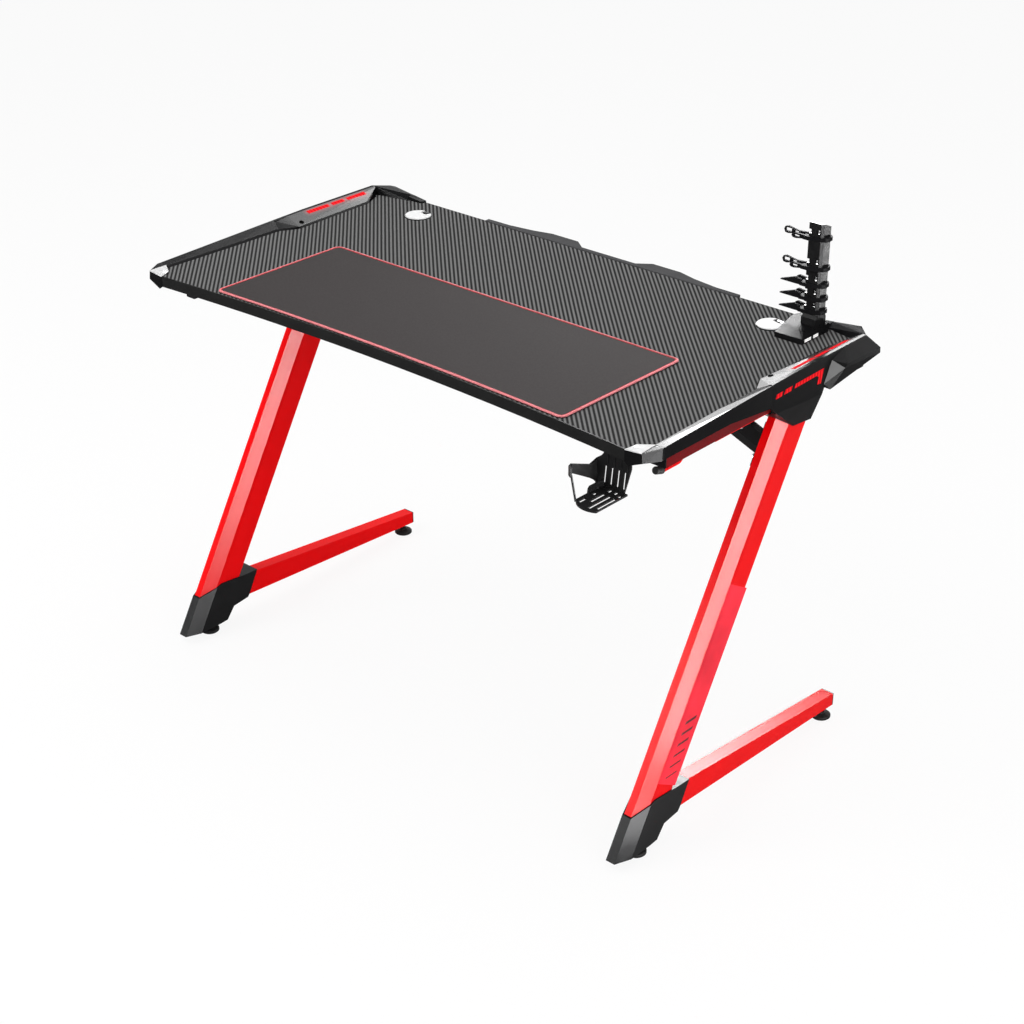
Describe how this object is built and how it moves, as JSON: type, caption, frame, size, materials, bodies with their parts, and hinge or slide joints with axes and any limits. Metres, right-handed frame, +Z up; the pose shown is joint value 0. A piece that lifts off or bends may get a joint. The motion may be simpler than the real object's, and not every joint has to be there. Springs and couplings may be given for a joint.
{
  "type": "gaming desk",
  "caption": "Rectangular desk on two leaning steel legs, with lit plastic side rails, mouse pad, cup holder, headphone hook and controller stand.",
  "frame": {"origin": "On the floor, under the middle of the bounding box.", "axes": "+X to the sitter's right along the desk, +Y to the rear edge, +Z up."},
  "size_m": [1.17, 0.666, 0.9435],
  "materials": {
    "twill_laminate": "satin dark laminate with fine diagonal ribs",
    "black_edge": "satin black edge moulding",
    "rail_gloss": "glossy black moulding",
    "fascia_gloss": "glossy charcoal moulding",
    "silver_plate": "brushed silver",
    "red_paint": "glossy red powder coat",
    "black_paint": "satin black powder coat",
    "boot_plastic": "satin black moulding",
    "cup_plastic": "satin black moulding",
    "light_red": "red light diffuser",
    "circuit_board": "white circuit strip",
    "pad_cloth": "dark woven cloth with a red stitched edge",
    "rubber": "matte black rubber",
    "zinc_screw": "zinc plated",
    "stand_plastic": "black moulding",
    "port_white": "white sockets"
  },
  "bodies": {
    "desk": {"desktop_board": "twill_laminate", "front_edge_band": "black_edge", "rear_edge_strip": "black_edge", "side_rail_left": "rail_gloss", "side_rail_right": "rail_gloss", "corner_cap_left": "rail_gloss", "corner_cap_right": "rail_gloss", "rail_fascia_left": "fascia_gloss", "rail_fascia_right": "fascia_gloss", "rear_corner_left": "fascia_gloss", "rear_corner_right": "fascia_gloss", "post_cover_left": "fascia_gloss", "post_cover_right": "fascia_gloss", "corner_plate_left": "silver_plate", "corner_plate_right": "silver_plate", "post_left": "red_paint", "post_right": "red_paint", "foot_left": "red_paint", "foot_right": "red_paint", "upper_rail_left": "red_paint", "upper_rail_right": "red_paint", "hook_arm": "red_paint", "stretcher": "black_paint", "boot_left": "boot_plastic", "boot_right": "boot_plastic", "foot_end_caps": "boot_plastic", "rail_end_plugs": "boot_plastic", "grommet_sleeve_left": "boot_plastic", "grommet_sleeve_right": "boot_plastic", "cable_clip": "boot_plastic", "control_box": "boot_plastic", "cup_holder": "cup_plastic", "inner_lights_left": "light_red", "inner_lights_right": "light_red", "light_bars_left": "light_red", "light_bars_right": "light_red", "led_strips": "circuit_board", "hook_tip": "rubber", "board_screws": "zinc_screw", "frame_bolts": "zinc_screw", "stretcher_bolts": "zinc_screw", "leveller_nuts": "zinc_screw", "power_socket": "zinc_screw"},
    "leveller_front_left": {"leveller_front_left": "rubber"},
    "leveller_front_right": {"leveller_front_right": "rubber"},
    "leveller_rear_left": {"leveller_rear_left": "rubber"},
    "leveller_rear_right": {"leveller_rear_right": "rubber"},
    "grommet_cap_left": {"grommet_cap_left": "silver_plate"},
    "grommet_cap_right": {"grommet_cap_right": "silver_plate"},
    "light_button_left": {"light_button_left": "boot_plastic"},
    "light_button_right": {"light_button_right": "boot_plastic"},
    "mouse_pad": {"mouse_pad": "pad_cloth"},
    "controller_stand": {"stand_base": "stand_plastic", "stand_column": "stand_plastic", "holder_tier_1": "stand_plastic", "holder_tier_2": "stand_plastic", "holder_tier_3": "stand_plastic", "holder_tier_4": "stand_plastic", "holder_tier_5": "stand_plastic", "stand_ports": "port_white"}
  },
  "joints": [
    {"name": "leveller_front_left_turn", "type": "hinge", "parent": "desk", "child": "leveller_front_left", "pos_m": [-0.5303, -0.2385, 0], "axis": [0, 0, 1], "continuous": true},
    {"name": "leveller_front_right_turn", "type": "hinge", "parent": "desk", "child": "leveller_front_right", "pos_m": [0.5303, -0.2385, 0], "axis": [0, 0, 1], "continuous": true},
    {"name": "leveller_rear_left_turn", "type": "hinge", "parent": "desk", "child": "leveller_rear_left", "pos_m": [-0.5303, 0.3005, 0], "axis": [0, 0, 1], "continuous": true},
    {"name": "leveller_rear_right_turn", "type": "hinge", "parent": "desk", "child": "leveller_rear_right", "pos_m": [0.5303, 0.3005, 0], "axis": [0, 0, 1], "continuous": true},
    {"name": "grommet_cap_left_turn", "type": "hinge", "parent": "desk", "child": "grommet_cap_left", "pos_m": [-0.4075, 0.242, 0.751], "axis": [0, 0, 1], "continuous": true},
    {"name": "grommet_cap_right_turn", "type": "hinge", "parent": "desk", "child": "grommet_cap_right", "pos_m": [0.4075, 0.242, 0.751], "axis": [0, 0, 1], "continuous": true},
    {"name": "light_button_left_press", "type": "slide", "parent": "desk", "child": "light_button_left", "axis": [-0.3304, 0, -0.9439], "range_m": [0, 0.0015], "stiffness_N_per_m": 300},
    {"name": "light_button_right_press", "type": "slide", "parent": "desk", "child": "light_button_right", "axis": [0.3304, 0, -0.9439], "range_m": [0, 0.0015], "stiffness_N_per_m": 300},
    {"name": "mouse_pad_lift", "type": "slide", "parent": "desk", "child": "mouse_pad", "axis": [0, 0, 1], "range_m": [0, 0.1]},
    {"name": "controller_stand_lift", "type": "slide", "parent": "desk", "child": "controller_stand", "axis": [0, 0, 1], "range_m": [0, 0.2]}
  ]
}
